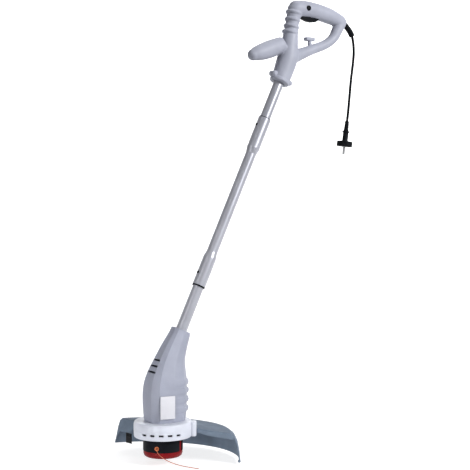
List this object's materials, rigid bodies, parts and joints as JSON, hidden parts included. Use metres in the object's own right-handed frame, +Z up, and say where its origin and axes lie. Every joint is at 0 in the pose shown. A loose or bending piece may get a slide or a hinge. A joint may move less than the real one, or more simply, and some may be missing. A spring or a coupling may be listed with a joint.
{
  "type": "string trimmer",
  "caption": "Corded electric string trimmer with a loop handle, a three-part tube shaft, an upright motor head, a guard with a line cutter and a bump-feed spool.",
  "frame": {"origin": "middle of the rear grip of the loop handle, where the hand carries the tool", "axes": "+Z up along the spool axis, +X from the cutting head towards the user, +Y to the user's right-hand side seen from the head"},
  "size_m": [0.624, 0.3076, 1.043],
  "materials": {
    "grey_shell": "fine satin moulding texture",
    "white_ring": "satin",
    "guard_plastic": "semi-gloss moulding",
    "tube": "brushed along the tube",
    "steel": "brushed",
    "blued_steel": "dark oxide",
    "black_plastic": "fine satin",
    "black_rubber": "matt",
    "cord": "matt",
    "red_plastic": "gloss",
    "copper": "enamelled wire",
    "brass": "turned",
    "line": "smooth nylon line",
    "core_steel": "laminated",
    "carbon": "pressed carbon",
    "spring_steel": "drawn wire",
    "component": "moulded"
  },
  "bodies": {
    "frame": {"base_ring": "white_ring", "bearing_plate": "component", "blade_screws": "steel", "brush_bracket": "component", "brush_holders": "brass", "brush_springs": "spring_steel", "capacitor": "component", "carbon_brushes": "carbon", "clamp_screws": "steel", "cord_clamp": "component", "cord_hook": "grey_shell", "cutter_blade": "blued_steel", "field_coils": "copper", "guard": "guard_plastic", "guard_screws": "steel", "handle_screws": "steel", "handle_shell_left": "grey_shell", "handle_shell_right": "grey_shell", "housing_left": "grey_shell", "housing_right": "grey_shell", "housing_screws": "steel", "inner_cable": "cord", "joint_ring_lower": "black_plastic", "joint_ring_upper": "black_plastic", "lock_spring": "spring_steel", "lower_bearing": "steel", "lower_tube": "tube", "middle_tube": "tube", "plug": "black_rubber", "plug_pins": "steel", "power_cord": "cord", "stator_core": "core_steel", "strain_relief": "black_rubber", "switch": "component", "trigger_pin": "steel", "trigger_spring": "spring_steel", "upper_bearing": "steel", "upper_tube": "tube"},
    "trigger": {"trigger": "black_plastic"},
    "lock_button": {"lock_button": "black_plastic"},
    "snap_upper": {"snap_button_upper": "blued_steel", "snap_spring_upper": "spring_steel"},
    "snap_lower": {"snap_button_lower": "blued_steel", "snap_spring_lower": "spring_steel"},
    "rotor": {"motor_shaft": "steel", "armature_core": "core_steel", "armature_windings": "copper", "commutator": "copper", "fan": "black_plastic", "spool_housing": "black_plastic", "line_eyelet": "brass", "spool_cover": "red_plastic", "trimmer_line": "line", "spool_spring": "spring_steel"},
    "knob": {"bump_knob": "red_plastic"},
    "spool": {"spool": "black_plastic", "wound_line": "line"}
  },
  "joints": [
    {"name": "trigger_pull", "type": "hinge", "parent": "frame", "child": "trigger", "pos_m": [-0.062, 0, -0.007], "axis": [0, -1, 0], "range_deg": [0, 5.5], "stiffness_Nm_per_rad": 0.6, "springref_deg": -2.86, "deforming": ["trigger_spring"]},
    {"name": "lock_press", "type": "slide", "parent": "frame", "child": "lock_button", "axis": [0, 1, 0], "range_m": [0, 0.003], "stiffness_N_per_m": 300, "springref_m": -0.002, "deforming": ["lock_spring"]},
    {"name": "snap_upper_press", "type": "slide", "parent": "frame", "child": "snap_upper", "axis": [0.8976, 0, -0.4407], "range_m": [0, 0.004], "stiffness_N_per_m": 600, "springref_m": -0.002},
    {"name": "snap_lower_press", "type": "slide", "parent": "frame", "child": "snap_lower", "axis": [0.8976, 0, -0.4407], "range_m": [0, 0.004], "stiffness_N_per_m": 600, "springref_m": -0.002},
    {"name": "rotor_spin", "type": "hinge", "parent": "frame", "child": "rotor", "pos_m": [-0.45, 0, -0.971], "axis": [0, 0, 1], "continuous": true},
    {"name": "bump_press", "type": "slide", "parent": "rotor", "child": "knob", "axis": [0, 0, 1], "range_m": [0, 0.004], "stiffness_N_per_m": 900, "springref_m": -0.004, "deforming": ["spool_spring"]},
    {"name": "spool_feed", "type": "hinge", "parent": "knob", "child": "spool", "pos_m": [-0.45, 0, -0.986], "axis": [0, 0, 1], "continuous": true}
  ]
}
